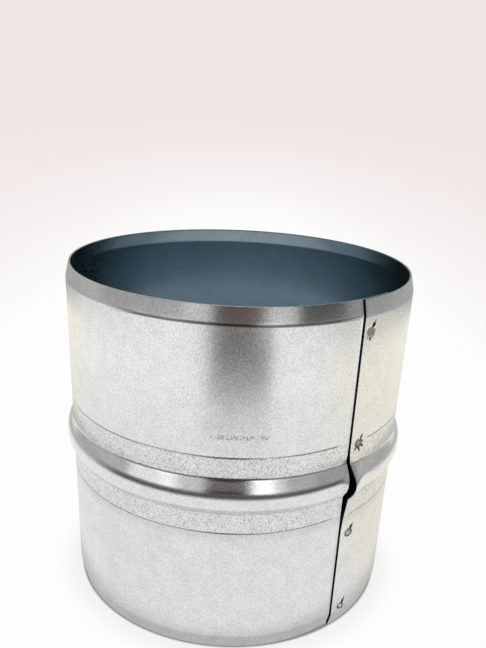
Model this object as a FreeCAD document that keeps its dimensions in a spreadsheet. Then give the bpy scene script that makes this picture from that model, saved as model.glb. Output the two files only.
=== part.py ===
import FreeCAD, Part
import math
import os
import Sketcher

# Straight duct connector for 100 mm round duct: one strip of galvanised sheet, rolled into a tube,
# lapped along one side and spot welded there. A raised bead round the middle stops the two ducts
# that slide on from either end, and both ends lean inwards as a lead-in.

# Lengths in millimetres, and the lap's azimuth in degrees about the axis. Each weld's height is
# taken from what it lies nearest to: the first up from the lower rim, the second and third down and up
# from the middle of the bead, and the fourth down from the upper rim.
sizes = {
    "spigot_diameter": 99.0,
    "overall_length": 99.0,
    "sheet_thickness": 0.5,
    "lead_in_height": 4.1,
    "lead_in_depth": 1.0,
    "bead_width": 10.2,
    "bead_height": 1.8,
    "score_offset": 11.1,
    "score_width": 0.4,
    "score_depth": 0.1,
    "score_gap": 1.0,
    "lap_azimuth": -51.6,
    "lap_length": 11.2,
    "lap_gap": 0.15,
    "ease_length": 12.0,
    "edge_lift": 1.8,
    "lift_length": 9.0,
    "weld_diameter": 3.4,
    "weld_dimple": 0.15,
    "weld_from_edge": 3.1,
    "weld_height_1": 5.9,
    "weld_height_2": 17.7,
    "weld_height_3": 10.2,
    "weld_height_4": 8.1,
}

radius = sizes["spigot_diameter"] / 2
half_length = sizes["overall_length"] / 2
thickness = sizes["sheet_thickness"]
lead_angle = math.atan(sizes["lead_in_depth"] / sizes["lead_in_height"])

# Each weld's height above the middle of the bead, as a value and as the expression that gives it
weld_heights = [
    (sizes["weld_height_1"] - half_length, "Sizes.weld_height_1 - Sizes.overall_length / 2"),
    (-sizes["weld_height_2"], "-Sizes.weld_height_2"),
    (sizes["weld_height_3"], "Sizes.weld_height_3"),
    (half_length - sizes["weld_height_4"], "Sizes.overall_length / 2 - Sizes.weld_height_4"),
]

# The same values as expressions: degrees of turn for a millimetre along the tube's skin, one whole
# turn as a length of skin, and the step inwards from one layer of the lap to the next
turn = "(360 / (pi * Sizes.spigot_diameter))"
whole_turn = "pi * Sizes.spigot_diameter"
nest = thickness + sizes["lap_gap"]
nest_text = "(Sizes.sheet_thickness + Sizes.lap_gap)"

# The sketcher's own numbers for the points of a curve and for a sketch's axes
START, END, CENTRE = range(1, 4)
HORIZONTAL_AXIS, VERTICAL_AXIS = range(-1, -3, -1)
AXIS = FreeCAD.Vector(0, 0, 1)
SKETCH_UP = FreeCAD.Vector(0, 1, 0)

doc = FreeCAD.newDocument("duct_connector")
sheet = doc.addObject("Spreadsheet::Sheet", "Sizes")
for row, (name, value) in enumerate(sizes.items(), start=1):
    sheet.set(f"A{row}", name)
    sheet.set(f"B{row}", str(value))
    sheet.setAlias(f"B{row}", name)
doc.recompute()

# The body's own origin is on the axis at mid-height, so that the lower half mirrors the upper one
body = doc.addObject("PartDesign::Body", "Connector")
body.Label = "duct_connector"
body.setExpression("Placement.Base.z", "Sizes.overall_length / 2")
planes = {feature.Role: feature for feature in body.Origin.OriginFeatures}


def upright_sketch(name, azimuth):
    """A sketch that stands in the XZ plane, turned about the tube's axis."""
    sketch = body.newObject("Sketcher::SketchObject", name)
    sketch.AttachmentSupport = [(planes["XZ_Plane"], "")]
    sketch.MapMode = "FlatFace"
    sketch.AttachmentOffset = FreeCAD.Placement(FreeCAD.Vector(), FreeCAD.Rotation(SKETCH_UP, 1))
    sketch.setExpression("AttachmentOffset.Rotation.Angle", azimuth)
    return sketch


def past_edge(along):
    """Azimuth of the point that lies a length of skin past the outer lap's free edge."""
    return f"Sizes.lap_azimuth + {turn} * ({along})"


def bind(sketch, constraint, expression):
    index = sketch.addConstraint(constraint)
    sketch.setExpression(f"Constraints[{index}]", expression)


def arc(centre, arc_radius, first, last):
    circle = Part.Circle(FreeCAD.Vector(*centre, 0), AXIS, arc_radius)
    return Part.ArcOfCircle(circle, first, last)


def line(first, last):
    return Part.LineSegment(FreeCAD.Vector(*first, 0), FreeCAD.Vector(*last, 0))


def on_circle(centre, circle_radius, angle):
    return centre[0] + circle_radius * math.cos(angle), centre[1] + circle_radius * math.sin(angle)


def half_section(name, along, inset=(0, "0"), lift=(0, "0")):
    """The sheet's section from the middle of the bead up to the rim.

    inset moves the whole sheet inwards, square to itself, so that it nests under another layer.
    lift raises the bead. Both are a value and the expression that gives it.
    """
    height = sizes["bead_height"] + lift[0]
    height_text = f"(Sizes.bead_height + {lift[1]})"
    crown = ((sizes["bead_width"] / 2) ** 2 + height ** 2) / (2 * height)
    crown_text = f"((Sizes.bead_width / 2) ^ 2 + {height_text} ^ 2) / (2 * {height_text})"
    bead = (radius + height - crown, 0)
    slope = 1 / math.cos(lead_angle)
    slope_text = "sqrt(1 + (Sizes.lead_in_depth / Sizes.lead_in_height) ^ 2)"

    sketch = upright_sketch(name, past_edge(along))
    depths = (inset, (inset[0] + thickness, f"({inset[1]} + Sizes.sheet_thickness)"))
    skins = []
    for depth, depth_text in depths:
        wall = radius - depth
        rim = (radius - sizes["lead_in_depth"] - depth * slope, half_length)
        foot_angle = math.acos((wall - bead[0]) / (crown - depth))
        foot = on_circle(bead, crown - depth, foot_angle)
        crease = (wall, half_length - (wall - rim[0]) / math.tan(lead_angle))
        curves = sketch.addGeometry(
            [arc(bead, crown - depth, 0, foot_angle), line(foot, crease), line(crease, rim)])
        skins.append((curves, rim, (bead[0] + crown - depth, 0)))
    (outer, rim_out, crest_out), (inner, rim_in, crest_in) = skins
    across_rim, across_crest = sketch.addGeometry([line(rim_out, rim_in), line(crest_out, crest_in)])

    for (curves, rim, crest), (depth, depth_text), end in zip(skins, depths, (START, END)):
        bead_arc, wall, lead_in = curves
        for joint in ((bead_arc, END, wall, START), (wall, END, lead_in, START),
                      (lead_in, END, across_rim, end), (bead_arc, START, across_crest, end)):
            sketch.addConstraint(Sketcher.Constraint("Coincident", *joint))
        sketch.addConstraint(Sketcher.Constraint("PointOnObject", bead_arc, START, HORIZONTAL_AXIS))
        sketch.addConstraint(Sketcher.Constraint("Vertical", wall))
        bind(sketch, Sketcher.Constraint("Radius", bead_arc, crown - depth), f"{crown_text} - {depth_text}")
        bind(sketch, Sketcher.Constraint("DistanceX", wall, START, radius - depth),
             f"Sizes.spigot_diameter / 2 - {depth_text}")
        bind(sketch, Sketcher.Constraint("DistanceX", across_rim, end, rim[0]),
             f"Sizes.spigot_diameter / 2 - Sizes.lead_in_depth - {depth_text} * {slope_text}")
    bead_out, wall_out, lead_out = outer
    bead_in, wall_in, lead_in = inner
    sketch.addConstraint(Sketcher.Constraint("PointOnObject", bead_out, CENTRE, HORIZONTAL_AXIS))
    sketch.addConstraint(Sketcher.Constraint("Coincident", bead_in, CENTRE, bead_out, CENTRE))
    sketch.addConstraint(Sketcher.Constraint("Parallel", lead_out, lead_in))
    sketch.addConstraint(Sketcher.Constraint("Horizontal", across_rim))
    bind(sketch, Sketcher.Constraint("DistanceX", bead_out, CENTRE, bead[0]),
         f"Sizes.spigot_diameter / 2 + {height_text} - {crown_text}")
    bind(sketch, Sketcher.Constraint("DistanceY", across_rim, START, half_length), "Sizes.overall_length / 2")
    lean = math.pi / 2 + lead_angle
    bind(sketch, Sketcher.Constraint("Angle", HORIZONTAL_AXIS, START, lead_out, START, lean),
         "90 deg + atan(Sizes.lead_in_depth / Sizes.lead_in_height)")
    return sketch


def revolve(name, section, angle):
    feature = body.newObject("PartDesign::Revolution", name)
    feature.Profile = section
    feature.ReferenceAxis = (section, ["V_Axis"])
    feature.setExpression("Angle", angle)
    return feature


def loft(name, sections):
    feature = body.newObject("PartDesign::AdditiveLoft", name)
    feature.Profile = sections[0]
    feature.Sections = sections[1:]
    return feature


def outer_lap(start, steps=4):
    """The end of the strip that lies outside: at the bead its free edge springs off the layer below."""
    sections = [start]
    for step in reversed(range(steps)):
        share = step / steps
        rise = (1 - share) ** 2
        sections.append(half_section(f"OuterLap{step}", f"Sizes.lift_length * {share}",
                                     lift=(sizes["edge_lift"] * rise, f"Sizes.edge_lift * {rise}")))
    return loft("OuterLap", sections)


def ease(steps=7):
    """Sections over which the sheet dives inwards, by one thickness and a gap, under the outer lap."""
    sections = []
    for step in range(steps + 1):
        share = step / steps
        dive = share ** 2 * (3 - 2 * share)
        sections.append(half_section(f"Ease{step}", f"{whole_turn} - Sizes.ease_length * {1 - share}",
                                     inset=(nest * dive, f"{nest_text} * {dive}")))
    return sections


def score_line():
    """Fine line that the edge of the beading roll leaves in the skin, short of the lap at both ends."""
    sketch = upright_sketch("ScoreSection", past_edge("Sizes.lift_length + Sizes.score_gap"))
    tip = (radius - sizes["score_depth"], sizes["score_offset"])
    mouth = radius + sizes["score_depth"]
    upper = (mouth, tip[1] + sizes["score_width"])
    lower = (mouth, tip[1] - sizes["score_width"])
    sketch.addGeometry([line(tip, upper), line(upper, lower), line(lower, tip)])
    for side in range(3):
        following = (side + 1) % 3
        sketch.addConstraint(Sketcher.Constraint("Coincident", side, END, following, START))
    sketch.addConstraint(Sketcher.Constraint("Vertical", 1))
    bind(sketch, Sketcher.Constraint("DistanceX", 0, START, tip[0]),
         "Sizes.spigot_diameter / 2 - Sizes.score_depth")
    bind(sketch, Sketcher.Constraint("DistanceX", 0, END, mouth),
         "Sizes.spigot_diameter / 2 + Sizes.score_depth")
    bind(sketch, Sketcher.Constraint("DistanceY", 0, START, tip[1]), "Sizes.score_offset")
    bind(sketch, Sketcher.Constraint("DistanceY", 0, END, upper[1]),
         "Sizes.score_offset + Sizes.score_width")
    bind(sketch, Sketcher.Constraint("DistanceY", 1, END, lower[1]),
         "Sizes.score_offset - Sizes.score_width")
    groove = body.newObject("PartDesign::Groove", "ScoreLine")
    groove.Profile = sketch
    groove.ReferenceAxis = (sketch, ["V_Axis"])
    groove.setExpression(
        "Angle", f"360 - {turn} * (Sizes.lift_length + Sizes.ease_length + 2 * Sizes.score_gap)")
    return groove


def weld_nuggets(azimuth):
    """Spots where the two layers are fused: each bridges from mid-sheet to mid-sheet."""
    middle_text = f"(Sizes.spigot_diameter / 2 - {nest_text} - Sizes.sheet_thickness / 2)"
    sketch = upright_sketch("WeldSpots", f"90 + {azimuth}")
    sketch.setExpression("AttachmentOffset.Base.x", f"{middle_text} * cos(({azimuth}) * 1 deg)")
    sketch.setExpression("AttachmentOffset.Base.z", f"-{middle_text} * sin(({azimuth}) * 1 deg)")
    for spot, (height, height_text) in enumerate(weld_heights):
        centre = FreeCAD.Vector(0, height, 0)
        sketch.addGeometry(Part.Circle(centre, AXIS, sizes["weld_diameter"] / 2))
        sketch.addConstraint(Sketcher.Constraint("PointOnObject", spot, CENTRE, VERTICAL_AXIS))
        bind(sketch, Sketcher.Constraint("DistanceY", spot, CENTRE, height), height_text)
        bind(sketch, Sketcher.Constraint("Diameter", spot, sizes["weld_diameter"]), "Sizes.weld_diameter")
    nuggets = body.newObject("PartDesign::Pad", "WeldNuggets")
    nuggets.Profile = sketch
    nuggets.setExpression("Length", nest_text)
    return nuggets


def weld_dimple(name, azimuth, height_text):
    """Shallow round dent that the electrode leaves in the outer skin over a weld."""
    ball_text = "((Sizes.weld_diameter / 2) ^ 2 + Sizes.weld_dimple ^ 2) / (2 * Sizes.weld_dimple)"
    centre_text = f"(Sizes.spigot_diameter / 2 - Sizes.weld_dimple + {ball_text})"
    dimple = body.newObject("PartDesign::SubtractiveSphere", name)
    dimple.AttachmentSupport = [(planes["XY_Plane"], "")]
    dimple.MapMode = "FlatFace"
    dimple.setExpression("Radius", ball_text)
    dimple.setExpression("AttachmentOffset.Base.x", f"{centre_text} * cos(({azimuth}) * 1 deg)")
    dimple.setExpression("AttachmentOffset.Base.y", f"{centre_text} * sin(({azimuth}) * 1 deg)")
    dimple.setExpression("AttachmentOffset.Base.z", height_text)
    return dimple


def check_smaller(volume_before, what):
    doc.recompute()
    if body.Shape.Volume >= volume_before:
        raise RuntimeError(f"{what} cut nothing")


first_section = half_section("PlainStart", "Sizes.lift_length")
ease_sections = ease()
upper_half = [
    revolve("PlainTube", first_section, f"360 - {turn} * (Sizes.lift_length + Sizes.ease_length)"),
    outer_lap(first_section),
    loft("Ease", ease_sections),
    revolve("InnerLap", ease_sections[-1], f"{turn} * Sizes.lap_length"),
]
doc.recompute()
uncut = body.Shape.Volume
upper_half.append(score_line())
check_smaller(uncut, "score line")

lower_half = body.newObject("PartDesign::Mirrored", "LowerHalf")
lower_half.Originals = upper_half
lower_half.MirrorPlane = (planes["XY_Plane"], [""])
body.Tip = lower_half

weld_azimuth = past_edge("Sizes.weld_from_edge")
weld_nuggets(weld_azimuth)
for number, (height, height_text) in enumerate(weld_heights, start=1):
    doc.recompute()
    uncut = body.Shape.Volume
    weld_dimple(f"WeldDimple{number}", weld_azimuth, height_text)
    check_smaller(uncut, f"weld dimple {number}")

for item in doc.Objects:
    if "Invalid" in item.State or "Error" in item.State:
        raise RuntimeError(f"{item.Label} failed: {item.getStatusString()}")
shape = body.Shape
if shape.isNull() or not shape.isValid() or len(shape.Solids) != 1:
    raise RuntimeError(f"{body.Label} isn't one valid solid")

os.makedirs("parts", exist_ok=True)
shape.exportStep(f"parts/{body.Label}.step")
box = shape.optimalBoundingBox()
print(f"{body.Label}: {box.XLength:.2f} x {box.YLength:.2f} x {box.ZLength:.2f} mm, {shape.Volume:.0f} mm3")
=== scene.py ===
import math

import bpy
from mathutils import Euler, Matrix, Vector


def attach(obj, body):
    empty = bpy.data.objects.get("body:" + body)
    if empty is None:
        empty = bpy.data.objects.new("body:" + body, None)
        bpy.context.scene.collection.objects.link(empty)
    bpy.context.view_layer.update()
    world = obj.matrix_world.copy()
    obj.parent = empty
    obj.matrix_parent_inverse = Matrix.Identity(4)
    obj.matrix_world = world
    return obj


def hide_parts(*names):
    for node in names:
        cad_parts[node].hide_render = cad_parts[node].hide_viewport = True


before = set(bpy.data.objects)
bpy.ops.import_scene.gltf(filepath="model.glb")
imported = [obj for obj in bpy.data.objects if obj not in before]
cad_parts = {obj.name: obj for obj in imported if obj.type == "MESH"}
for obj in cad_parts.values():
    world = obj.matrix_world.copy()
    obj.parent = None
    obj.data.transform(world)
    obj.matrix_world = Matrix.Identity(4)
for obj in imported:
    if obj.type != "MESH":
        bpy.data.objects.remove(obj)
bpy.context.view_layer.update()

scene = bpy.context.scene
scene.view_settings.view_transform = "Standard"


def deselectAll():
    if bpy.context.object and bpy.context.object.mode == "EDIT":
        bpy.ops.object.mode_set(mode="OBJECT")
    bpy.ops.object.select_all(action="DESELECT")


def editVertices(piece, wanted):
    # leaves edit mode on, with just the wanted vertices selected
    bpy.ops.object.mode_set(mode="EDIT")
    bpy.ops.mesh.select_mode(type="VERT")
    bpy.ops.mesh.select_all(action="DESELECT")
    bpy.ops.object.mode_set(mode="OBJECT")
    for vertex in piece.data.vertices:
        vertex.select = wanted(vertex)
    bpy.ops.object.mode_set(mode="EDIT")


def startPoint(name):
    # a mesh of one vertex at the origin, selected, with edit mode on
    deselectAll()
    bpy.ops.mesh.primitive_plane_add(size=0.001, location=(0, 0, 0))
    piece = bpy.context.object
    piece.name = name
    bpy.ops.object.mode_set(mode="EDIT")
    bpy.ops.mesh.select_all(action="SELECT")
    bpy.ops.mesh.merge(type="CENTER")
    return piece


def spinOn(turn, steps):
    # carries what is selected on round the axis, counter-clockwise seen from above
    bpy.ops.mesh.spin(steps=steps, angle=math.radians(turn), center=(0, 0, 0), axis=(0, 0, -1))


def setInput(tree, socket, value):
    # a link, a colour, a vector or a number
    if isinstance(value, bpy.types.NodeSocket):
        tree.links.new(value, socket)
    elif isinstance(value, tuple) and socket.type == "RGBA":
        socket.default_value = (*value, 1)
    elif value is not None:
        socket.default_value = value


def addNode(tree, kind, place, settings=None, **values):
    made = tree.nodes.new(kind)
    made.location = place
    for name, value in (settings or {}).items():
        setattr(made, name, value)
    for name, value in values.items():
        setInput(tree, made.inputs[name], value)
    return made


def addMath(tree, operation, place, first, second=None):
    made = addNode(tree, "ShaderNodeMath", place, {"operation": operation})
    for socket, value in zip(made.inputs, (first, second)):
        setInput(tree, socket, value)
    return made.outputs[0]


def addVector(tree, operation, place, first, second=None):
    made = addNode(tree, "ShaderNodeVectorMath", place, {"operation": operation})
    for socket, value in zip(made.inputs, (first, second)):
        setInput(tree, socket, value)
    return made.outputs["Value" if operation in ("DOT_PRODUCT", "LENGTH") else "Vector"]


def addFade(tree, place, source, start, end, first=1.0, last=0.0):
    # goes from the first value to the last between two values of the source
    made = addNode(tree, "ShaderNodeMapRange", place, {"interpolation_type": "SMOOTHSTEP"})
    values = {"Value": source, "From Min": start, "From Max": end, "To Min": first, "To Max": last}
    for name, value in values.items():
        setInput(tree, made.inputs[name], value)
    return made.outputs["Result"]


def addRamp(tree, place, source, stops):
    # stops are a position with a grey or a colour
    made = addNode(tree, "ShaderNodeValToRGB", place)
    marks = made.color_ramp.elements
    while len(marks) < len(stops):
        marks.new(0.5)
    for mark, (position, value) in zip(marks, stops):
        mark.position = position
        mark.color = (*value, 1) if isinstance(value, tuple) else (value, value, value, 1)
    tree.links.new(source, made.inputs["Fac"])
    return made.outputs["Color"]


def addNoise(tree, place, vector, scale, detail=2.0, roughness=0.6):
    made = addNode(
        tree, "ShaderNodeTexNoise", place, Vector=vector, Scale=scale, Detail=detail, Roughness=roughness)
    return made.outputs["Fac"]


def addMix(tree, place, blend, factor, first, second):
    made = addNode(tree, "ShaderNodeMix", place, {"data_type": "RGBA", "blend_type": blend})
    for socket, value in zip((made.inputs[0], made.inputs[6], made.inputs[7]), (factor, first, second)):
        setInput(tree, socket, value)
    return made.outputs[2]


def newMaterial(name):
    material = bpy.data.materials.new(name)
    material.use_nodes = True
    return material, material.node_tree, material.node_tree.nodes["Principled BSDF"]


def objectPlace(tree, place):
    # the point in the object's own coordinates, whole and in parts
    whole = addNode(tree, "ShaderNodeTexCoord", place).outputs["Object"]
    parts = addNode(tree, "ShaderNodeSeparateXYZ", (place[0] + 200, place[1] - 300), Vector=whole)
    return whole, parts.outputs


def newGroup(name, inputs, outputs):
    group = bpy.data.node_groups.new(name, "ShaderNodeTree")
    for socket, kind in inputs:
        group.interface.new_socket(socket, in_out="INPUT", socket_type="NodeSocket" + kind)
    for socket, kind in outputs:
        group.interface.new_socket(socket, in_out="OUTPUT", socket_type="NodeSocket" + kind)
    entry = addNode(group, "NodeGroupInput", (-1400, 0))
    result = addNode(group, "NodeGroupOutput", (1000, 0))
    return group, entry.outputs, result.inputs


def placeGroup(tree, group, place, values):
    made = addNode(tree, "ShaderNodeGroup", place, {"node_tree": group})
    for name, value in values.items():
        setInput(tree, made.inputs[name], value)
    return made.outputs


# Lengths in metres; the tube stands on the floor with its axis on Z
connector = {
    "radius": 0.0495,
    "length": 0.099,
    "sheet": 0.0005,
    "beadHalfWidth": 0.0051,
    "beadHeight": 0.00179,
    "beadDrop": 0.00045,        # the crest lies below the middle; the flank above it is straight
    "beadSteps": 12,
    "flankRows": (0.35, 0.7),   # shares of the straight flank, as the fold's are of its bend
    "foldRows": (0, 0.33, 0.67, 1.0),
    "footBend": 0.0003,
    "footRow": 0.0008,          # first row of the flat skin beyond the bead
    "leadInHeight": 0.0041,
    "leadInDepth": 0.001,
    "leadInRows": (0.0033, 0.002, 0.0003, 0),   # below the rim
    "foldBend": 0.002,
    "foldRow": 0.0003,          # last row of the flat skin before the fold
    "cutEdgeRound": 0.00006,
    "cutEdgeSteps": 2,
    "cutEdgeAngle": 60,         # degrees from which an edge counts as cut
    "smoothAngle": 40,
    "rimBand": 0.001,           # flat faces this near an end are its rim
}

# One end of the strip lies outside the other; angles in degrees, from the outer end's free edge
lap = {
    "azimuth": -51.6,
    "fineTurn": 16.0,       # columns close together where the welds and the lifted edge are
    "fineStep": 0.35,
    "plainStep": 1.5,
    "easeTurn": 30.0,       # where the sheet dives under the outer end
    "easeStep": 0.75,
    "underTurn": 13.0,
    "nest": 0.00065,        # one sheet and a small gap
    # the free edge springs off the bead: stretch of edge, middle of it below the bead's, rise, reach
    "lifts": (
        {"half": 0.0500, "below": 0.0, "rise": 0.00012, "reach": 0.004, "falloff": "SMOOTH"},
        {"half": 0.0012, "below": 0.0002, "rise": 0.0009, "reach": 0.008, "falloff": "SHARP"},
        {"half": 0.0055, "below": 0.0045, "rise": 0.0010, "reach": 0.009, "falloff": "SMOOTH"},
    ),
}

# Score lines either side of the bead stop short of the lap; gaps and fades in degrees
scores = {
    "offset": 0.0111,
    "halfWidth": 0.0002,
    "depth": 0.0001,
    "leftGap": 3.4,
    "leftFade": 0.3,
    "upperRightGap": 7.4,
    "lowerRightGap": 1.9,
    "rightFade": 0.4,
    # painted shade in the grooves: the line's half width and tone, then its tone past the lap
    "lineHalf": 0.00010,
    "lineTone": 0.62,
    "rightTone": 0.80,
    "breaks": (0.42, 0.55),     # grain that breaks up the line past the lap
    # painted soft shade under the lower line
    "shadeTone": 0.86,
    "shadeReach": 0.004,
}

# Spot welds from the top down. Stains are in millimetres from the weld's centre on the skin:
# right, up, half width, half height, lean in degrees, raggedness, tone
welds = {
    "dent": 0.00015,
    "dentReach": 0.0018,
    "rowStep": 0.0003,
    "rowReach": 0.0021,
    "rowRoom": 0.45,                    # share of a step that a row keeps off its neighbours
    "foldRoom": 0.0005,
    "raggedScale": 1700,
    "stainEdge": (0.8, 1.12),
    "skinDepth": (-0.00042, -0.0003),   # stains stay on the outer skin
    "marks": (
        {"height": 0.0908, "turn": 2.9, "stains": (
            (-0.96, 2.30, 0.75, 0.95, 0, 0.4, (0.97, 0.91, 0.86)),
            (0.05, 0.05, 1.75, 1.22, -8, 0.4, (0.44, 0.375, 0.335)),
            (0.88, 1.68, 0.82, 0.66, 50, 0.4, (0.012, 0.012, 0.012)),
            (1.35, 2.50, 0.60, 0.26, 60, 0.3, (0.22, 0.21, 0.20)),
            (0.00, -1.85, 0.34, 0.60, 0, 0.4, (0.14, 0.12, 0.11)),
            (1.25, -1.05, 0.22, 0.26, 0, 0.3, (0.30, 0.27, 0.25)),
        )},
        {"height": 0.0597, "turn": 3.4, "stains": (
            (0.62, -1.75, 0.34, 0.75, 8, 0.7, (0.05, 0.05, 0.05)),
            (1.70, -0.95, 0.65, 0.30, -35, 0.7, (0.08, 0.08, 0.078)),
            (-1.00, -1.15, 0.60, 0.36, 40, 0.7, (0.08, 0.08, 0.078)),
            (1.70, 0.55, 0.45, 0.20, 30, 0.7, (0.16, 0.16, 0.155)),
            (0.10, 0.00, 1.70, 1.38, -15, 1.7, (0.06, 0.06, 0.058)),
            (0.05, 0.10, 1.20, 0.95, -15, 1.3, (0.29, 0.285, 0.275)),
            (-0.05, 0.45, 0.45, 0.40, 0, 0.6, (0.58, 0.57, 0.55)),
            (0.95, 1.85, 1.00, 0.42, 57, 0.5, (0.012, 0.012, 0.012)),
        )},
        {"height": 0.0318, "turn": 3.8, "stains": (
            (0.15, -0.10, 1.85, 1.32, -25, 0.9, (0.09, 0.087, 0.085)),
            (0.70, 0.95, 0.60, 0.75, -20, 0.6, (0.24, 0.23, 0.22)),
            (0.12, -0.05, 1.40, 0.96, -25, 0.9, (0.36, 0.35, 0.335)),
            (-0.15, -0.10, 0.72, 0.46, -30, 0.5, (0.72, 0.71, 0.68)),
            (1.02, 1.62, 0.85, 0.64, 50, 0.4, (0.012, 0.012, 0.012)),
            (1.50, 2.45, 0.55, 0.22, 58, 0.3, (0.22, 0.21, 0.20)),
        )},
        {"height": 0.0059, "turn": 4.4, "stains": (
            (0.10, -0.15, 1.55, 1.12, -30, 0.9, (0.09, 0.087, 0.085)),
            (0.05, -0.12, 1.00, 0.64, -30, 0.7, (0.80, 0.79, 0.76)),
            (0.85, 1.20, 1.15, 0.60, 62, 0.5, (0.02, 0.02, 0.02)),
            (1.35, 2.30, 0.60, 0.22, 65, 0.3, (0.25, 0.24, 0.23)),
        )},
    ),
}

middle = connector["length"] / 2


def around(turn, radius=1.0):
    # point at an angle past the outer end's free edge
    angle = math.radians(lap["azimuth"] + turn)
    return Vector((radius * math.cos(angle), radius * math.sin(angle), 0))


def alongSkin(turn):
    return Vector((0, 0, 1)).cross(around(turn))


def weldCentre(mark):
    return around(mark["turn"], connector["radius"]) + Vector((0, 0, mark["height"]))


def beadProfile():
    # (radius, height above the middle) from the lower foot over the crest to the upper one
    size = connector
    rise, lower = size["beadHeight"], size["beadHalfWidth"] - size["beadDrop"]
    footAngle = 2 * math.atan(rise / lower)
    crown = lower / math.sin(footAngle)
    upper = size["beadHalfWidth"] + size["beadDrop"]
    # angle at which a line from the upper foot touches the crown's circle
    flank = math.atan2(upper, crown - rise) - math.acos(crown / math.hypot(upper, crown - rise))
    points = []
    for step in range(2 * size["beadSteps"] + 1):
        angle = -footAngle + (footAngle + flank) * step / (2 * size["beadSteps"])
        points.append((
            size["radius"] + rise - crown * (1 - math.cos(angle)),
            crown * math.sin(angle) - size["beadDrop"],
        ))
    (r, height), foot = points[-1], size["beadHalfWidth"]
    for share in (*size["flankRows"], 1 - size["footBend"] / (foot - height)):
        points.append((r + (size["radius"] - r) * share, height + (foot - height) * share))
    return points


def endProfile():
    # (radius, height above the middle) from just above the bead to the upper rim
    size = connector
    r, foot = size["radius"], size["beadHalfWidth"]
    points = [(r, foot + size["footBend"]), (r, foot + size["footRow"])]
    # the groove's rows in half widths from its middle, and the one that lies deep
    for offset, deep in ((-2.5, 0), (-1, 0), (0, 1), (1, 0), (2.5, 0)):
        points.append((r - deep * scores["depth"], scores["offset"] + offset * scores["halfWidth"]))

    lean = math.atan(size["leadInDepth"] / size["leadInHeight"])
    crease = middle - size["leadInHeight"]
    bendStart = crease - size["foldBend"] * math.tan(lean / 2)
    points.append((r, bendStart - size["foldRow"]))
    for share in size["foldRows"]:
        angle = lean * share
        points.append((
            r - size["foldBend"] * (1 - math.cos(angle)),
            bendStart + size["foldBend"] * math.sin(angle),
        ))
    for drop in size["leadInRows"]:
        height = middle - drop
        points.append((r - (height - crease) * math.tan(lean), height))
    return points


def fullProfile():
    # one end, the bead and the other end, with extra rows where the welds are
    end = endProfile()
    rows = [(r, middle - h) for r, h in reversed(end)]
    rows += [(r, middle + h) for r, h in beadProfile()[1:] + end]
    flatEnd = connector["leadInHeight"] + welds["foldRoom"]
    reach = round(welds["rowReach"] / welds["rowStep"])
    for mark in welds["marks"]:
        for step in range(-reach, reach + 1):
            height = mark["height"] + step * welds["rowStep"]
            clear = min(abs(height - row[1]) for row in rows) > welds["rowStep"] * welds["rowRoom"]
            if clear and flatEnd < height < connector["length"] - flatEnd:
                rows.append((connector["radius"], height))
    return sorted(rows, key=lambda row: row[1])


def rollStrip():
    # a column of vertices up the outer end's free edge is spun round the axis, and then in under its start
    rows = fullProfile()
    strip = startPoint("ductConnector")
    places = [around(0) * r + Vector((0, 0, height)) for r, height in rows]
    bpy.ops.transform.translate(value=places[0])
    for before, after in zip(places, places[1:]):
        bpy.ops.mesh.extrude_region_move(TRANSFORM_OT_translate={"value": after - before})

    bpy.ops.mesh.select_all(action="SELECT")
    plainTurn = 360 - lap["fineTurn"] - lap["easeTurn"]
    for turn, step in ((lap["fineTurn"], lap["fineStep"]), (plainTurn, lap["plainStep"])):
        spinOn(turn, round(turn / step))
    inset = 0
    easeSteps = round(lap["easeTurn"] / lap["easeStep"])
    for step in range(1, easeSteps + 1):
        share = step / easeSteps
        deeper = lap["nest"] * share ** 2 * (3 - 2 * share)
        spinOn(lap["easeTurn"] / easeSteps, 1)
        shrink = (connector["radius"] - deeper) / (connector["radius"] - inset)
        bpy.ops.transform.resize(value=(shrink, shrink, 1), center_override=(0, 0, 0))
        inset = deeper
    spinOn(lap["underTurn"], round(lap["underTurn"] / lap["easeStep"]))
    bpy.ops.object.mode_set(mode="OBJECT")
    return strip, len(rows)


def fillScores(strip, rowCount):
    # the score lines stop short of the lap, so their groove is filled up again there
    underColumns = round((scores["leftGap"] + lap["underTurn"]) / lap["easeStep"])
    lastColumn = len(strip.data.vertices) // rowCount - 1
    grow = connector["radius"] / (connector["radius"] - scores["depth"])
    nearRow = scores["halfWidth"] / 10
    for side, rightGap in ((1, scores["upperRightGap"]), (-1, scores["lowerRightGap"])):
        height = middle + side * scores["offset"]
        rightColumns = round(rightGap / lap["fineStep"])

        def inGap(vertex):
            column = vertex.index // rowCount
            nearLap = column <= rightColumns or column >= lastColumn - underColumns
            return nearLap and abs(vertex.co.z - height) < nearRow

        editVertices(strip, inGap)
        bpy.ops.transform.resize(value=(grow, grow, 1), center_override=(0, 0, 0))
        bpy.ops.object.mode_set(mode="OBJECT")


def pullNear(strip, wanted, move, reach, falloff):
    editVertices(strip, wanted)
    bpy.ops.transform.translate(
        value=move,
        use_proportional_edit=True,
        use_proportional_connected=True,
        proportional_edit_falloff=falloff,
        proportional_size=reach,
    )
    bpy.ops.object.mode_set(mode="OBJECT")


def shapeLap(strip, rowCount):
    for lift in lap["lifts"]:
        centre = middle - lift["below"]

        def freeEdge(vertex):
            return vertex.index < rowCount and abs(vertex.co.z - centre) < lift["half"]

        pullNear(strip, freeEdge, around(0) * lift["rise"], lift["reach"], lift["falloff"])

    outerVertices = strip.data.vertices[: rowCount * round(lap["fineTurn"] / lap["fineStep"])]
    for mark in welds["marks"]:
        spot = weldCentre(mark)
        nearest = min(outerVertices, key=lambda vertex: (vertex.co - spot).length).index
        inward = around(mark["turn"]) * -welds["dent"]
        pullNear(strip, lambda vertex: vertex.index == nearest, inward, welds["dentReach"], "SPHERE")


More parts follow.
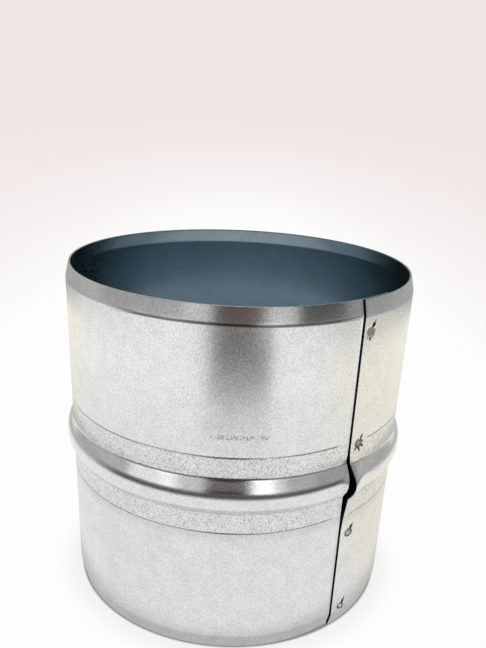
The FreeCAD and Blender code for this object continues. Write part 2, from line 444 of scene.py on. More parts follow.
def dressSheet(strip, rowCount):
    # the skin that lies under the outer end gets the painted shade of the lap
    strip.data.materials.append(galvanisedSheet())
    strip.data.materials.append(lapShadeSteel())
    firstUnder = len(strip.data.vertices) // rowCount - 1 - round(lap["underTurn"] / lap["easeStep"])
    for face in strip.data.polygons:
        if min(face.vertices) // rowCount >= firstUnder:
            face.material_index = 1


def finishSheet(strip):
    bpy.ops.object.mode_set(mode="EDIT")
    bpy.ops.mesh.select_all(action="SELECT")
    bpy.ops.mesh.normals_make_consistent(inside=False)
    bpy.ops.object.mode_set(mode="OBJECT")
    thickness = strip.modifiers.new("sheet", "SOLIDIFY")
    thickness.thickness = connector["sheet"]
    thickness.offset = -1
    thickness.use_even_offset = True
    thickness.material_offset = -1
    bpy.ops.object.modifier_apply(modifier=thickness.name)
    rounding = strip.modifiers.new("cutEdges", "BEVEL")
    rounding.limit_method = "ANGLE"
    rounding.angle_limit = math.radians(connector["cutEdgeAngle"])
    rounding.width = connector["cutEdgeRound"]
    rounding.segments = connector["cutEdgeSteps"]
    bpy.ops.object.modifier_apply(modifier=rounding.name)
    bpy.ops.object.shade_smooth_by_angle(angle=math.radians(connector["smoothAngle"]))


def shadeCutEnds(strip):
    # the sheared ends, which look along the skin, get the painted shade too; the rims stay bright
    # galvanised, also the hidden layer's
    for face in strip.data.polygons:
        spoke = Vector((face.center.x, face.center.y, 0)).normalized()
        atRim = abs(face.center.z - middle) > middle - connector["rimBand"]
        if abs(spoke.cross(face.normal).z) > 0.9:
            face.material_index = 1
        elif atRim and abs(face.normal.z) > 0.5:
            face.material_index = 0


def makeConnector():
    strip, rowCount = rollStrip()
    fillScores(strip, rowCount)
    shapeLap(strip, rowCount)
    makeSeamCard(strip, rowCount)
    dressSheet(strip, rowCount)
    finishSheet(strip)
    shadeCutEnds(strip)
    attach(strip, "root")
    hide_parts("duct_connector")
    triangles = sum(len(face.vertices) - 2 for face in strip.data.polygons)
    print("connector:", rowCount, "rows,", triangles, "triangles")


# Fine crystals and soft mottling in the zinc or the cut steel
crystals = {"broadScale": 0.09, "fineShare": 0.8, "broadShare": 0.2, "darkAt": 0.37, "brightAt": 0.63}


def metalGrain():
    look = crystals
    group, given, result = newGroup(
        "metalGrain",
        (("Place", "Vector"), ("Scale", "Float"), ("Darkest", "Float")),
        (("Tone", "Float"), ("Height", "Float")),
    )
    fine = addNoise(group, (-900, 200), given["Place"], given["Scale"], 3, 0.7)
    wider = addMath(group, "MULTIPLY", (-1100, -200), given["Scale"], look["broadScale"])
    broad = addNoise(group, (-900, -100), given["Place"], wider, 4)
    both = addMath(
        group, "ADD", (-600, 100),
        addMath(group, "MULTIPLY", (-750, 200), fine, look["fineShare"]),
        addMath(group, "MULTIPLY", (-750, -100), broad, look["broadShare"]),
    )
    tone = addFade(group, (-300, 100), both, look["darkAt"], look["brightAt"], given["Darkest"], 1.0)
    group.links.new(tone, result["Tone"])
    group.links.new(fine, result["Height"])
    return group


def stainMask():
    # ragged ellipse on the skin round a weld's centre
    group, given, result = newGroup(
        "stain",
        (("Place", "Vector"), ("Centre", "Vector"), ("Along", "Vector"), ("Outward", "Vector"),
         ("Spot", "Vector"), ("Half", "Vector"), ("Turn", "Vector"),
         ("Noise", "Float"), ("Ragged", "Float")),
        (("Mask", "Float"),),
    )
    offset = addVector(group, "SUBTRACT", (-1200, 300), given["Place"], given["Centre"])
    along = addVector(group, "DOT_PRODUCT", (-1000, 300), offset, given["Along"])
    depth = addVector(group, "DOT_PRODUCT", (-1000, 100), offset, given["Outward"])
    up = addNode(group, "ShaderNodeSeparateXYZ", (-1000, -100), Vector=offset).outputs["Z"]
    flat = addNode(group, "ShaderNodeCombineXYZ", (-800, 200), X=along, Y=up).outputs[0]
    local = addNode(group, "ShaderNodeMapping", (-600, 200), {"vector_type": "TEXTURE"}, Vector=flat,
                    Location=given["Spot"], Rotation=given["Turn"], Scale=given["Half"]).outputs[0]
    edge = addMath(group, "MULTIPLY", (-400, -100), given["Noise"], given["Ragged"])
    distance = addMath(group, "ADD", (-200, 100), addVector(group, "LENGTH", (-400, 200), local), edge)
    blot = addFade(group, (0, 100), distance, *welds["stainEdge"])
    onSkin = addFade(group, (0, -100), depth, *welds["skinDepth"], 0.0, 1.0)
    group.links.new(addMath(group, "MULTIPLY", (300, 0), blot, onSkin), result["Mask"])
    return group


# Heights from the middle of the bead between which the finish changes
zones = {"beadEnd": 0.00505, "footEnd": 0.0054, "fold": 0.0450, "leadIn": 0.0453}

galvanised = {
    "colour": (0.925, 0.935, 0.93),
    # the inside is painted darker and bluer as the shade within the tube, with another painted shade at the
    # lead-ins
    "insideShade": (0.575, 0.69, 0.755),
    "insideEndShade": (0.53, 0.585, 0.61),
    "insideRoughness": 0.20,
    "plainRoughness": 0.255,
    "rolledRoughness": 0.16,
    "leadInRoughness": 0.19,
    "weldRoughness": 0.55,
    "grainScale": 2500,
    "grainDarkest": 0.75,
    "grainDepth": 0.000012,
    "rolledScale": 3200,
    "rolledDepth": 0.000007,
    "speckScale": 900,
    "speckTone": 0.70,
    "speckFrom": 0.75,              # share of the cells without a speck
    "speckSize": (0.08, 0.26),
}

# Pitted bands between the bead and the score lines, and a short row of pits above them at the front
pitting = {
    "scale": 1800,
    "depth": 0.000028,
    "level": 0.5,
    "bandEdge": 0.0003,
    "bandTone": 0.70,
    "bandPits": (0.51, 0.61),
    "rowRight": 0.0015,             # from the front, and above the bead's middle
    "rowAbove": 0.0167,
    "rowHalf": (0.0002, 0.0007),
    "rowReach": (0.0055, 0.0075),
    "rowTone": 0.66,
    "rowPits": (0.44, 0.56),
}

# Painted shade lines in the bead's feet and along the upper lead-in's fold; the upper two fade at the sides
creaseShade = {
    "upperHalf": 0.00020,
    "upperTone": 0.40,
    "upperFade": 0.7,               # how far the upper foot's fades; the fold's goes altogether
    "lowerHalf": 0.00028,
    "lowerTone": 0.80,
    "foldBelow": 0.0002,
    "foldHalf": 0.00030,
    "foldTone": 0.20,
    "fadeAside": (0.020, 0.033),
    "softEdge": (0.5, 1.9),         # in half widths of any line, the scores' too
}


def skinPlace(tree, parts):
    # height above the bead's middle, the same without its sign, and the azimuth in degrees
    above = addMath(tree, "SUBTRACT", (-1900, -300), parts["Z"], middle)
    fromMiddle = addMath(tree, "ABSOLUTE", (-1750, -300), above)
    azimuth = addMath(tree, "ARCTAN2", (-1900, -500), parts["Y"], parts["X"])
    return above, fromMiddle, addMath(tree, "DEGREES", (-1750, -500), azimuth)


def distanceFrom(tree, place, source, target):
    across, up = place
    difference = addMath(tree, "SUBTRACT", (across - 150, up), source, target)
    return addMath(tree, "ABSOLUTE", place, difference)


def lineAt(tree, place, height, target, half, tone):
    # darkens a thin line at one height, from the line's tone to 1
    away = distanceFrom(tree, place, height, target)
    inner, outer = (half * share for share in creaseShade["softEdge"])
    return addFade(tree, (place[0] + 150, place[1]), away, inner, outer, tone, 1.0)


def paintScoreShade(tree, above, azimuth, grainHeight):
    # painted shade: a dark line in each groove, broken up and fainter past the lap
    look = scores
    tones = []
    for side, rightGap in ((1, look["upperRightGap"]), (-1, look["lowerRightGap"])):
        row = -1500 - 250 * (1 - side)
        height = side * look["offset"]
        line = lineAt(tree, (-1400, row), above, height, look["lineHalf"], look["lineTone"])
        leftEnd = lap["azimuth"] - look["leftGap"]
        rightStart = lap["azimuth"] + rightGap
        rightEnd = rightStart + look["rightFade"]
        pastLeft = addFade(tree, (-1100, row), azimuth, leftEnd - look["leftFade"], leftEnd, 0.0, 1.0)
        beforeRight = addFade(tree, (-1100, row - 120), azimuth, rightStart, rightEnd)
        inGap = addMath(tree, "MULTIPLY", (-900, row), pastLeft, beforeRight)
        pastLap = addFade(tree, (-1100, row - 240), azimuth, rightStart, rightEnd, 0.0, look["rightTone"])
        breaks = addFade(tree, (-1100, row - 360), grainHeight, *look["breaks"])
        broken = addMath(tree, "MULTIPLY", (-900, row - 240), pastLap, breaks)
        hidden = addMath(tree, "MAXIMUM", (-700, row), inGap, broken)
        tones.append(addMath(tree, "MAXIMUM", (-500, row), line, hidden))
    # soft shade under the lower line
    low = -look["offset"]
    shade = addFade(tree, (-700, -1800), above, low - look["shadeReach"], low, 1.0, look["shadeTone"])
    beyond = addMath(tree, "GREATER_THAN", (-700, -1950), above, low)
    shade = addMath(tree, "MAXIMUM", (-500, -1800), shade, beyond)
    return addMath(tree, "MULTIPLY", (-200, -1600), addMath(tree, "MULTIPLY", (-300, -1600), *tones), shade)


def paintCreaseShade(tree, above, side):
    # painted shade: dark lines in the bead's feet and at the upper lead-in's fold, fading out to the sides
    look = creaseShade
    foot = connector["beadHalfWidth"]
    fold = middle - connector["leadInHeight"] - look["foldBelow"]
    upper = lineAt(tree, (-1400, -2400), above, foot, look["upperHalf"], look["upperTone"])
    lower = lineAt(tree, (-1400, -2550), above, -foot, look["lowerHalf"], look["lowerTone"])
    folds = lineAt(tree, (-1400, -2700), above, fold, look["foldHalf"], look["foldTone"])
    offAxis = addMath(tree, "ABSOLUTE", (-1550, -2850), side)
    aside = addFade(tree, (-1400, -2850), offAxis, *look["fadeAside"], 0.0, 1.0)
    folds = addMath(tree, "MAXIMUM", (-1050, -2700), folds, aside)
    aside = addMath(tree, "MULTIPLY", (-1250, -2850), aside, look["upperFade"])
    upper = addMath(tree, "MAXIMUM", (-1050, -2350), upper, aside)
    feet = addMath(tree, "MULTIPLY", (-1050, -2450), upper, lower)
    return addMath(tree, "MULTIPLY", (-900, -2500), feet, folds)


def speckTone(tree, place):
    # sparse dark specks, most of them faint
    look = galvanised
    cells = addNode(tree, "ShaderNodeTexVoronoi", (-1400, 700), Vector=place, Scale=look["speckScale"])
    pick = addNode(tree, "ShaderNodeSeparateColor", (-1200, 820), Color=cells.outputs["Color"]).outputs[0]
    chosen = addFade(tree, (-1000, 820), pick, look["speckFrom"], 1.0, 0.0, 1.0)
    dot = addFade(tree, (-1000, 600), cells.outputs["Distance"], *look["speckSize"])
    speck = addMath(tree, "MULTIPLY", (-800, 700), chosen, dot)
    return addFade(tree, (-650, 700), speck, 0.0, 1.0, 1.0, look["speckTone"])


def pitMasks(tree, parts, above, fromMiddle):
    # where there are pits at all, and the row by itself
    look = pitting
    edge = scores["offset"]
    band = addMath(
        tree, "MULTIPLY", (-1000, -700),
        addFade(tree, (-1200, -650), fromMiddle, zones["beadEnd"], zones["footEnd"], 0.0, 1.0),
        addFade(tree, (-1200, -800), fromMiddle, edge, edge + look["bandEdge"]),
    )
    offRow = distanceFrom(tree, (-1400, -1100), above, look["rowAbove"])
    along = distanceFrom(tree, (-1400, -1250), parts["X"], look["rowRight"])
    row = addMath(
        tree, "MULTIPLY", (-1050, -1100),
        addFade(tree, (-1200, -1100), offRow, *look["rowHalf"]),
        addFade(tree, (-1200, -1250), along, *look["rowReach"]),
    )
    atFront = addMath(tree, "LESS_THAN", (-1100, -1200), parts["Y"], 0.0)
    row = addMath(tree, "MULTIPLY", (-950, -1100), row, atFront)
    return addMath(tree, "MAXIMUM", (-900, -700), band, row), row


def pitTone(tree, place, pits, span, tone, mask):
    # darkens the pits inside the mask
    across, up = place
    dark = addFade(tree, place, pits, *span, 1.0, tone)
    elsewhere = addMath(tree, "SUBTRACT", (across + 100, up - 150), 1.0, mask)
    return addMath(tree, "MAXIMUM", (across + 200, up), dark, elsewhere)


def stainWelds(tree, place, colour):
    # the stained colour, and where the stains are
    group = stainMask()
    noise = addNoise(tree, (-1700, 1500), place, welds["raggedScale"])
    noise = addMath(tree, "SUBTRACT", (-1500, 1500), noise, 0.5)
    marks = None
    for mark in welds["marks"]:
        for right, up, halfWidth, halfHeight, lean, ragged, tone in mark["stains"]:
            mask = placeGroup(tree, group, (-1300, 1500), {
                "Place": place,
                "Centre": weldCentre(mark),
                "Along": alongSkin(mark["turn"]),
                "Outward": around(mark["turn"]),
                "Spot": (right / 1000, up / 1000, 0),
                "Half": (halfWidth / 1000, halfHeight / 1000, 1),
                "Turn": (0, 0, math.radians(lean)),
                "Noise": noise,
                "Ragged": ragged,
            })["Mask"]
            colour = addMix(tree, (-1000, 1500), "MIX", mask, colour, tone)
            marks = mask if marks is None else addMath(tree, "MAXIMUM", (-1000, 1300), marks, mask)
    return colour, marks


def galvanisedSheet():
    look = galvanised
    material, tree, shader = newMaterial("galvanisedSheet")
    shader.inputs["Metallic"].default_value = 1
    place, parts = objectPlace(tree, (-2300, 0))
    above, fromMiddle, azimuth = skinPlace(tree, parts)
    spoke = addVector(tree, "MULTIPLY", (-2100, 300), place, (1, 1, 0))
    facing = addNode(tree, "ShaderNodeNewGeometry", (-2300, 300)).outputs["Normal"]
    outward = addVector(tree, "DOT_PRODUCT", (-1900, 300), spoke, facing)
    outer = addMath(tree, "GREATER_THAN", (-1700, 300), outward, 0.0)
    grain = placeGroup(tree, grainGroup, (-1400, 300), {
        "Place": place, "Scale": look["grainScale"], "Darkest": look["grainDarkest"],
    })

    pits = addNoise(tree, (-1200, -950), place, pitting["scale"])
    pitted, pitRow = pitMasks(tree, parts, above, fromMiddle)
    tone = grain["Tone"]
    for worn in (
        pitTone(tree, (-1000, -950), pits, pitting["bandPits"], pitting["bandTone"], pitted),
        pitTone(tree, (-1000, -1350), pits, pitting["rowPits"], pitting["rowTone"], pitRow),
        speckTone(tree, place),
        paintScoreShade(tree, above, azimuth, grain["Height"]),
        paintCreaseShade(tree, above, parts["X"]),
    ):
        tone = addMath(tree, "MULTIPLY", (-350, 400), tone, worn)
    outside = addMix(tree, (-150, 500), "MULTIPLY", 1.0, look["colour"], tone)
    outside, weldMarks = stainWelds(tree, place, outside)
    ends = addFade(tree, (-800, -300), fromMiddle, zones["fold"], zones["leadIn"], 0.0, 1.0)
    # painted shade on the inside of the tube
    inside = addMix(tree, (-300, 300), "MIX", ends, look["insideShade"], look["insideEndShade"])
    inside = addMix(tree, (-150, 300), "MULTIPLY", 1.0, look["colour"], inside)
    inside = addMix(tree, (0, 300), "MULTIPLY", 1.0, inside, grain["Tone"])
    colour = addMix(tree, (100, 500), "MIX", outer, inside, outside)
    tree.links.new(colour, shader.inputs["Base Color"])

    # rolled parts are smoother, welds duller
    rolled = addFade(tree, (-800, -100), fromMiddle, zones["beadEnd"], zones["footEnd"])
    roughness = look["plainRoughness"]
    for name, mask in (("rolled", rolled), ("leadIn", ends), ("weld", weldMarks)):
        difference = look[name + "Roughness"] - look["plainRoughness"]
        change = addMath(tree, "MULTIPLY", (-600, -200), mask, difference)
        roughness = addMath(tree, "ADD", (-400, -200), change, roughness)
    bothSides = addNode(tree, "ShaderNodeMix", (-250, -200), {"data_type": "FLOAT"})
    for socket, value in ((0, outer), (2, look["insideRoughness"]), (3, roughness)):
        setInput(tree, bothSides.inputs[socket], value)
    tree.links.new(bothSides.outputs[0], shader.inputs["Roughness"])

    # relief of the grain everywhere, of the pits in their bands, and of the rolls where they ran
    height = addMath(tree, "MULTIPLY", (-600, -1000), grain["Height"], look["grainDepth"])
    hollow = addMath(tree, "SUBTRACT", (-900, -850), pitting["level"], pits)
    hollow = addMath(tree, "MULTIPLY", (-750, -800), hollow, pitting["depth"])
    waves = addNoise(tree, (-1000, -1200), place, look["rolledScale"])
    waves = addMath(tree, "MULTIPLY", (-800, -1200), waves, look["rolledDepth"])
    smooth = addMath(tree, "MAXIMUM", (-700, -1300), rolled, ends)
    for relief, mask in ((hollow, pitted), (waves, smooth)):
        relief = addMath(tree, "MULTIPLY", (-600, -800), relief, mask)
        height = addMath(tree, "ADD", (-400, -900), height, relief)
    bump = addNode(tree, "ShaderNodeBump", (-200, -700), Strength=1.0, Distance=1.0, Height=height)
    tree.links.new(bump.outputs["Normal"], shader.inputs["Normal"])
    return material


# The strip's sheared ends and what the lap hides, painted dull and near black as the shade in the lap
cutEndShade = {"colour": (0.012, 0.012, 0.012), "roughness": 0.6, "grainScale": 2600, "grainDarkest": 0.3}


def lapShadeSteel():
    look = cutEndShade
    material, tree, shader = newMaterial("lapShadeSteel")
    shader.inputs["Metallic"].default_value = 1
    shader.inputs["Roughness"].default_value = look["roughness"]
    place = addNode(tree, "ShaderNodeTexCoord", (-900, 0)).outputs["Object"]
    grain = placeGroup(tree, grainGroup, (-600, 0), {
        "Place": place, "Scale": look["grainScale"], "Darkest": look["grainDarkest"],
    })
    colour = addMix(tree, (-300, 0), "MULTIPLY", 1.0, look["colour"], grain["Tone"])
    tree.links.new(colour, shader.inputs["Base Color"])
    return material


def glossOnly(card):
    # a lit card that only the metal's reflections see
    material, tree, shader = newMaterial(card.name)
    shader.inputs["Base Color"].default_value = (0, 0, 0, 1)
    shader.inputs["Specular IOR Level"].default_value = 0
    shader.inputs["Emission Strength"].default_value = 1
    card.data.materials.append(material)
    card.visible_camera = card.visible_diffuse = card.visible_shadow = False
    card.visible_transmission = card.visible_volume_scatter = False
    return tree, shader.inputs


# Card in the mouth of the lap for the metal beside it to reflect; tones by shares of 0.1 m from the floor
seamCard = {
    "off": 0.00005,         # before the free edge
    "depth": 0.0009,
    "mouths": (             # deeper where the lap stands open: middle below the bead's, half length
        {"below": 0.0045, "half": 0.0095, "deeper": 0.0011},
        {"below": 0.0, "half": 0.0035, "deeper": 0.0007},
    ),
    "toneSpan": 0.1,
    "tones": (
        (0.05, 0.58), (0.12, 0.74), (0.483, 0.80), (0.489, 0.30), (0.496, 0.30),
        (0.502, 0.34), (0.548, 0.34), (0.555, 0.80), (0.94, 0.95), (0.955, 0.26),
    ),
}


def makeSeamCard(strip, rowCount):
    editVertices(strip, lambda vertex: vertex.index < rowCount)
    bpy.ops.mesh.duplicate()
    bpy.ops.mesh.separate(type="SELECTED")
    bpy.ops.object.mode_set(mode="OBJECT")
    card = next(piece for piece in bpy.context.selected_objects if piece is not strip)
    card.name = "seamCard"
    deselectAll()
    bpy.context.view_layer.objects.active = card
    card.select_set(True)
    bpy.ops.object.mode_set(mode="EDIT")
    bpy.ops.mesh.select_all(action="SELECT")
    bpy.ops.transform.translate(value=alongSkin(0) * -seamCard["off"])
    bpy.ops.mesh.extrude_region_move(TRANSFORM_OT_translate={"value": around(0) * -seamCard["depth"]})
    bpy.ops.object.mode_set(mode="OBJECT")
    for mouth in seamCard["mouths"]:

        def innerEdge(vertex):
            return vertex.index >= rowCount and abs(vertex.co.z - middle + mouth["below"]) < mouth["half"]

        editVertices(card, innerEdge)
        bpy.ops.transform.translate(value=around(0) * -mouth["deeper"])
        bpy.ops.object.mode_set(mode="OBJECT")
    tree, inputs = glossOnly(card)
    parts = objectPlace(tree, (-900, 0))[1]
    share = addMath(tree, "DIVIDE", (-600, 0), parts["Z"], seamCard["toneSpan"])
    setInput(tree, inputs["Emission Color"], addRamp(tree, (-500, 0), share, seamCard["tones"]))
    deselectAll()
    bpy.context.view_layer.objects.active = strip
    strip.select_set(True)
    print("seam card made")


# Positions go from 0 straight down to 1 straight up; reflections and soft light have their own sky
sky = {
    "backdrop": (0.863, 0.791, 0.783),
    "reflected": (
        (0.50, (0.49, 0.49, 0.485)), (0.70, (0.49, 0.49, 0.485)), (0.79, (0.34, 0.36, 0.37)),
        (0.88, (0.20, 0.26, 0.29)), (0.95, (0.10, 0.15, 0.18)), (1.0, (0.07, 0.11, 0.135)),
    ),
    "soft": ((0.50, (1.0, 0.985, 0.97)), (0.80, (1.0, 0.99, 0.98)), (1.0, (1.0, 0.99, 0.98))),
}


def makeWorld():
    world = bpy.data.worlds.new("studio")
    scene.world = world
    world.use_nodes = True
    world.cycles.sampling_method = "NONE"
    tree = world.node_tree
    direction = addNode(tree, "ShaderNodeTexCoord", (-900, 0)).outputs["Generated"]
    parts = addNode(tree, "ShaderNodeSeparateXYZ", (-700, 0), Vector=direction)
    rise = addMath(tree, "MULTIPLY_ADD", (-500, 0), parts.outputs["Z"], 0.5)
    rise.node.inputs[2].default_value = 0.5
    rays = addNode(tree, "ShaderNodeLightPath", (-500, 400)).outputs
    soft = addRamp(tree, (-300, 0), rise, sky["soft"])
    mirrored = addRamp(tree, (-300, -300), rise, sky["reflected"])
    colour = addMix(tree, (0, 0), "MIX", rays["Is Glossy Ray"], soft, mirrored)
    colour = addMix(tree, (200, 0), "MIX", rays["Is Camera Ray"], colour, sky["backdrop"])
    tree.links.new(colour, tree.nodes["Background"].inputs["Color"])
    print("world made")


paleFloor = {
    "size": 8,
    "tone": (0.75, 0.735, 0.73),
    "roughness": 0.9,
    "glowShape": (4.5, 1.0, 0.0),   # the white reaches further behind the tube than to its sides
    "glowEnd": 1.7,                 # one over the metres where it starts to fade to the backdrop
    # as the metal reflects it, by shares of a span from the axis; the light from behind is warmer
    "span": 0.5,
    "front": ((0.10, 0.89), (0.40, 0.91), (0.52, 1.09), (0.72, 1.09), (0.84, 0.44)),
    "back": (
        (0.10, (0.90, 0.87, 0.79)), (0.36, (0.96, 0.925, 0.82)),
        (0.62, (1.12, 1.07, 0.94)), (0.76, (0.44, 0.44, 0.43)),
    ),
    "backTurn": 0.45,               # to the right
    "backBlend": 0.35,
    "inside": (1.05, 1.0, 1.0),     # within the tube
    "insideRoom": 0.002,
    # painted shade: the floor as the metal sees it darkens towards the tube's foot
    "nearReflection": 0.60,         # at the tube's foot
    "nearReflectionReach": 0.0105,
    "ownLight": 0.96,               # share of the floor's own light, and at the tube's foot
    "nearLight": 0.78,
    "nearLightReach": 0.009,
    # painted contact shadow: the floor's colour and its own light darken just under the rim
    "contactTone": 0.22,            # under the rim
    "contactIn": 0.0009,
    "contactOut": 0.0001,
}


def makeFloor():
    look = paleFloor
    r = connector["radius"]
    deselectAll()
    bpy.ops.mesh.primitive_plane_add(size=look["size"], location=(0, 0, 0))
    floor = bpy.context.object
    floor.name = "floor"
    material, tree, shader = newMaterial("paleFloor")
    shader.inputs["Roughness"].default_value = look["roughness"]
    shader.inputs["Specular IOR Level"].default_value = 0
    place, parts = objectPlace(tree, (-1300, 0))
    away = addVector(tree, "LENGTH", (-1100, 0), place)
    rays = addNode(tree, "ShaderNodeLightPath", (-1300, -300)).outputs
    mirrored = rays["Is Glossy Ray"]
    seen = addMath(tree, "MAXIMUM", (-900, -300), rays["Is Camera Ray"], mirrored)
    seen = addMath(tree, "MAXIMUM", (-700, -300), seen, rays["Is Transmission Ray"])

    # what the camera sees goes from white to the backdrop, what the metal sees from white to grey
    spread = addVector(tree, "MULTIPLY", (-1200, 200), place, look["glowShape"])
    spread = addVector(tree, "LENGTH", (-1100, 200), spread)
    nearness = addMath(tree, "DIVIDE", (-1000, 200), 1.0, spread)
    far = addFade(tree, (-900, 200), nearness, 0.0, look["glowEnd"])
    plain = addMix(tree, (-500, 300), "MIX", far, (1, 1, 1), sky["backdrop"])
    turned = addMath(tree, "MULTIPLY", (-1200, 800), parts["X"], look["backTurn"])
    behind = addMath(tree, "ADD", (-1100, 700), parts["Y"], turned)
    behind = addMath(tree, "DIVIDE", (-1000, 700), behind, away)
    behind = addFade(tree, (-900, 700), behind, -look["backBlend"], look["backBlend"], 0.0, 1.0)
    span = addMath(tree, "DIVIDE", (-1000, 600), away, look["span"])
    front = addRamp(tree, (-800, 500), span, look["front"])
    gloss = addMix(tree, (-500, 600), "MIX", behind, front, addRamp(tree, (-800, 750), span, look["back"]))
    # painted shade near the tube's foot in the floor that the metal reflects
    nearEnd = r + look["nearReflectionReach"]
    near = addFade(tree, (-900, 900), away, r, nearEnd, look["nearReflection"], 1.0)
    gloss = addMix(tree, (-400, 600), "MULTIPLY", 1.0, gloss, near)
    colour = addMix(tree, (-300, 400), "MIX", mirrored, plain, gloss)

    # within the tube it is lit evenly, and at the foot it has less light of its own
    outside = addMath(tree, "GREATER_THAN", (-900, 0), away, r - look["insideRoom"])
    colour = addMix(tree, (-200, 400), "MIX", outside, look["inside"], colour)
    light = addNode(tree, "ShaderNodeEmission", (-100, 300), Color=colour)
    # painted contact shadow in the floor's colour and its own light, just under the rim
    contactStart, contactEnd = r - look["contactIn"], r + look["contactOut"]
    contact = addFade(tree, (-900, -100), away, contactStart, contactEnd, look["contactTone"], 1.0)
    ground = addMix(tree, (-300, -200), "MULTIPLY", 1.0, look["tone"], contact)
    tree.links.new(ground, shader.inputs["Base Color"])
    lightEnd = r + look["nearLightReach"]
    share = addFade(tree, (-900, -200), away, r, lightEnd, look["nearLight"], look["ownLight"])
    share = addMath(tree, "MULTIPLY", (-700, -100), contact, share)
    full = addMath(tree, "MAXIMUM", (-700, 0), mirrored, addMath(tree, "SUBTRACT", (-800, 0), 1.0, outside))
    share = addMath(tree, "MAXIMUM", (-500, 0), share, full)
    share = addMath(tree, "MULTIPLY", (-400, 0), share, seen)
    blend = addNode(tree, "ShaderNodeMixShader", (150, 100))
    for socket, source in zip(blend.inputs, (share, shader.outputs[0], light.outputs[0])):
        tree.links.new(source, socket)
    tree.links.new(blend.outputs[0], tree.nodes["Material Output"].inputs["Surface"])
    floor.data.materials.append(material)
    print("floor made")


# Ring just off the bead's crest, which fades out at its top; tones by shares of its height, from below
beadRing = {
    "away": 0.0545,
    "low": 0.0474,
    "high": 0.0524,
    "fadeFrom": 0.0498,
    "sides": 96,
    "frontTones": ((0.0, 0.88), (0.168, 0.55), (0.336, 0.12), (0.576, 0.09), (1.0, 0.12)),
    "sideTones": ((0.0, 0.88), (0.32, 0.60), (0.56, 0.44)),
    "sideFrom": (-0.82, -0.58),     # Y in radii
}


def makeBeadRing():
    ring = beadRing
    deselectAll()
    bpy.ops.mesh.primitive_cylinder_add(
        vertices=ring["sides"],
        radius=ring["away"],
        depth=ring["high"] - ring["low"],
        end_fill_type="NOTHING",
        location=(0, 0, 0),
    )
    card = bpy.context.object
    card.name = "beadRing"
    bpy.ops.object.mode_set(mode="EDIT")
    bpy.ops.mesh.select_all(action="SELECT")
    bpy.ops.transform.translate(value=(0, 0, (ring["high"] + ring["low"]) / 2))
    bpy.ops.object.mode_set(mode="OBJECT")
    tree, inputs = glossOnly(card)
    parts = objectPlace(tree, (-900, 0))[1]
    share = addNode(tree, "ShaderNodeMapRange", (-600, 0), Value=parts["Z"])
    share.inputs["From Min"].default_value = ring["low"]
    share.inputs["From Max"].default_value = ring["high"]
    front = addRamp(tree, (-400, 0), share.outputs["Result"], ring["frontTones"])
    sides = addRamp(tree, (-400, -250), share.outputs["Result"], ring["sideTones"])
    back = addMath(tree, "DIVIDE", (-600, 300), parts["Y"], ring["away"])
    aside = addFade(tree, (-500, 300), back, *ring["sideFrom"], 0.0, 1.0)
    setInput(tree, inputs["Emission Color"], addMix(tree, (-100, 0), "MIX", aside, front, sides))
    fade = addFade(tree, (-300, -500), parts["Z"], ring["fadeFrom"], ring["high"])
    setInput(tree, inputs["Alpha"], fade)
    print("bead ring made")


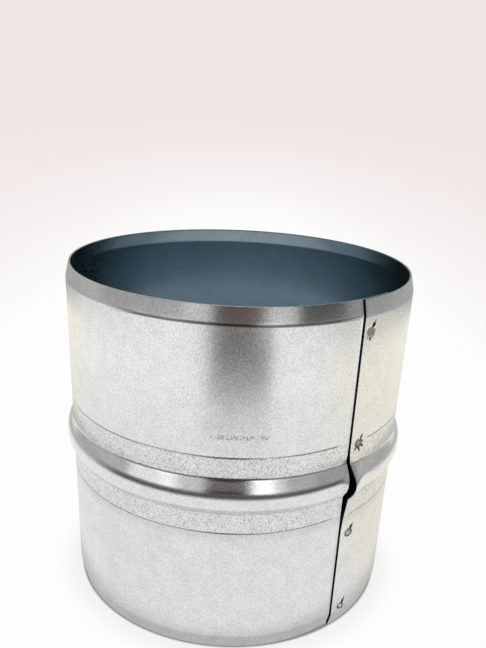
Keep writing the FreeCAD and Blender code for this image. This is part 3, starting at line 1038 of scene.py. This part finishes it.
# Curved cards in the room, each for the part of the metal that it is named after: from and to in degrees
# to the right of the way to the camera, distance from the axis, lower and upper edge, tone
flags = {
    "stepTurn": 5,
    "fewestSteps": 4,
    "cards": (
        ("bodyFlag", -15, 20, 0.222, 0.005, 0.045, (0.055, 0.042, 0.038)),
        ("beadFlag", -14, 11, 0.222, 0.0997, 0.112, (0.29, 0.25, 0.245)),
        ("beadDark", -14, 11, 0.222, 0.050, 0.0997, (0.045, 0.04, 0.04)),
        ("beadRight", 11, 25, 0.222, 0.055, 0.112, (1.5, 1.5, 1.5)),
        ("beadNear", 25, 33, 0.222, 0.055, 0.112, (0.82, 0.82, 0.82)),
        ("beadLeft", -60, -41, 0.222, 0.055, 0.102, (0.95, 0.95, 0.95)),
        ("beadGlint", -41, -30, 0.222, 0.055, 0.108, (1.2, 1.2, 1.2)),
        ("beadMid", -30, -15, 0.222, 0.055, 0.112, (0.64, 0.64, 0.64)),
        ("beadSide", 52, 75, 0.222, 0.055, 0.097, (0.36, 0.36, 0.36)),
        ("rimFlag", -14, 15, 0.222, 0.113, 0.17, (0.09, 0.068, 0.06)),
        ("rimLeft", -30, -14, 0.222, 0.113, 0.17, (0.62, 0.62, 0.62)),
        ("rimRight", 15, 34, 0.222, 0.113, 0.17, (0.53, 0.53, 0.53)),
        ("rimSide", 36, 66, 0.222, 0.104, 0.20, (0.07, 0.07, 0.07)),
        ("rimMid", 66, 84, 0.222, 0.100, 0.18, (0.29, 0.29, 0.29)),
        ("rimFar", 84, 119, 0.222, 0.090, 0.15, (0.34, 0.34, 0.34)),
        ("rimGrey", -85, -25, 0.223, 0.100, 0.17, (0.37, 0.37, 0.37)),
    ),
}


def makeFlags():
    for name, start, end, away, low, high, tone in flags["cards"]:
        card = startPoint(name)
        angle = math.radians(start - 90)
        bpy.ops.transform.translate(value=(away * math.cos(angle), away * math.sin(angle), low))
        bpy.ops.mesh.extrude_region_move(TRANSFORM_OT_translate={"value": (0, 0, high - low)})
        bpy.ops.mesh.select_all(action="SELECT")
        turn = end - start
        spinOn(turn, max(flags["fewestSteps"], turn // flags["stepTurn"]))
        bpy.ops.object.mode_set(mode="OBJECT")
        tree, inputs = glossOnly(card)
        setInput(tree, inputs["Emission Color"], tone)
    print("flags made")


camera = {
    "distance": 0.201794,
    "height": 0.142655,
    "pitch": 23.841,
    "yaw": 0.744,
    "roll": 2.773,
    "lens": 38.883,
    "sensor": 36,
    "shiftUp": 80 / 648,    # pixels, of the picture's height
    "clipStart": 0.01,
}


def makeCamera():
    data = bpy.data.cameras.new("camera")
    data.sensor_fit = "AUTO"
    data.sensor_width = camera["sensor"]
    data.lens = camera["lens"]
    data.shift_y = camera["shiftUp"]
    data.clip_start = camera["clipStart"]
    eye = bpy.data.objects.new("camera", data)
    scene.collection.objects.link(eye)
    eye.location = (0, -camera["distance"], camera["height"])
    aim = Euler((math.radians(90 - camera["pitch"]), 0, math.radians(-camera["yaw"]))).to_matrix()
    eye.rotation_euler = (aim @ Matrix.Rotation(math.radians(camera["roll"]), 3, "Z")).to_euler()
    scene.camera = eye
    print("camera set")


grainGroup = metalGrain()
makeConnector()
makeFloor()
makeWorld()
makeBeadRing()
makeFlags()
makeCamera()
